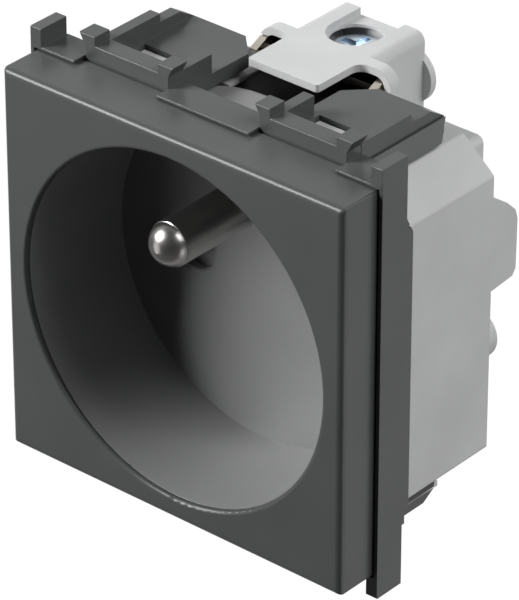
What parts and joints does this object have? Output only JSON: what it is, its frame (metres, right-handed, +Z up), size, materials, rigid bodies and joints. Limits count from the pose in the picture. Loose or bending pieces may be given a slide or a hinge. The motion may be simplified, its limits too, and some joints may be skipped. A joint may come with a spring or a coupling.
{
  "type": "wall socket insert",
  "caption": "Square plug-in wall socket insert with a round well, a projecting earth pin, shuttered pin holes, a snap-in frame with latch arms and screw terminals at the back.",
  "frame": {"origin": "centre of the square front face, in the plane of the face", "axes": "+X to the right seen from the front, +Y back into the wall, +Z up with the earth pin above the pin holes"},
  "size_m": [0.0464, 0.0365, 0.0508],
  "materials": {
    "dark_plastic": "fine matt anthracite moulding",
    "cup_plastic": "satin mid grey moulding",
    "light_plastic": "matt light grey moulding",
    "black_plastic": "matt black moulding",
    "nickel": "bright nickel plate",
    "bronze": "tinned bronze strip",
    "brass": "stamped brass strip",
    "zinc": "blue zinc plate",
    "spring_steel": "bright spring steel"
  },
  "bodies": {
    "housing": {"front_cover": "dark_plastic", "well_cup": "cup_plastic", "mounting_frame": "dark_plastic", "rear_body": "light_plastic", "rear_cover": "light_plastic", "earth_pin": "nickel", "earth_strap": "bronze", "insulating_plate": "black_plastic", "live_contact": "brass", "live_contact_spring": "spring_steel", "neutral_contact": "brass", "neutral_contact_spring": "spring_steel", "shutter_guide": "black_plastic", "shutter_spring": "spring_steel", "rear_screws": "zinc"},
    "shutter_body": {"shutter": "light_plastic"},
    "earth_screw_body": {"earth_screw": "zinc"},
    "earth_clamp_body": {"earth_clamp": "zinc"},
    "live_screw_body": {"live_screw": "zinc"},
    "live_clamp_body": {"live_clamp": "zinc"},
    "neutral_screw_body": {"neutral_screw": "zinc"},
    "neutral_clamp_body": {"neutral_clamp": "zinc"}
  },
  "joints": [
    {"name": "shutter_slide", "type": "slide", "parent": "housing", "child": "shutter_body", "axis": [0, 0, -1], "range_m": [0, 0.0064], "stiffness_N_per_m": 60, "springref_m": -0.003, "deforming": ["shutter_spring"]},
    {"name": "earth_screw_turn", "type": "hinge", "parent": "housing", "child": "earth_screw_body", "pos_m": [0, 0.02926, 0.02], "axis": [0, 0, -1], "range_deg": [0, 1440]},
    {"name": "earth_clamp_slide", "type": "slide", "parent": "housing", "child": "earth_clamp_body", "axis": [0, 0, 1], "range_m": [0, 0.002]},
    {"name": "live_screw_turn", "type": "hinge", "parent": "housing", "child": "live_screw_body", "pos_m": [0.0153, 0.0186, -0.018], "axis": [0, 0, 1], "range_deg": [0, 1440]},
    {"name": "live_clamp_slide", "type": "slide", "parent": "housing", "child": "live_clamp_body", "axis": [0, 0, -1], "range_m": [0, 0.002]},
    {"name": "neutral_screw_turn", "type": "hinge", "parent": "housing", "child": "neutral_screw_body", "pos_m": [-0.0153, 0.0186, -0.018], "axis": [0, 0, 1], "range_deg": [0, 1440]},
    {"name": "neutral_clamp_slide", "type": "slide", "parent": "housing", "child": "neutral_clamp_body", "axis": [0, 0, -1], "range_m": [0, 0.002]}
  ],
  "couplings": [
    {"joint": "earth_screw_turn", "follows": "earth_clamp_slide", "rad_per_m": 12560},
    {"joint": "live_screw_turn", "follows": "live_clamp_slide", "rad_per_m": 12560},
    {"joint": "neutral_screw_turn", "follows": "neutral_clamp_slide", "rad_per_m": 12560}
  ]
}
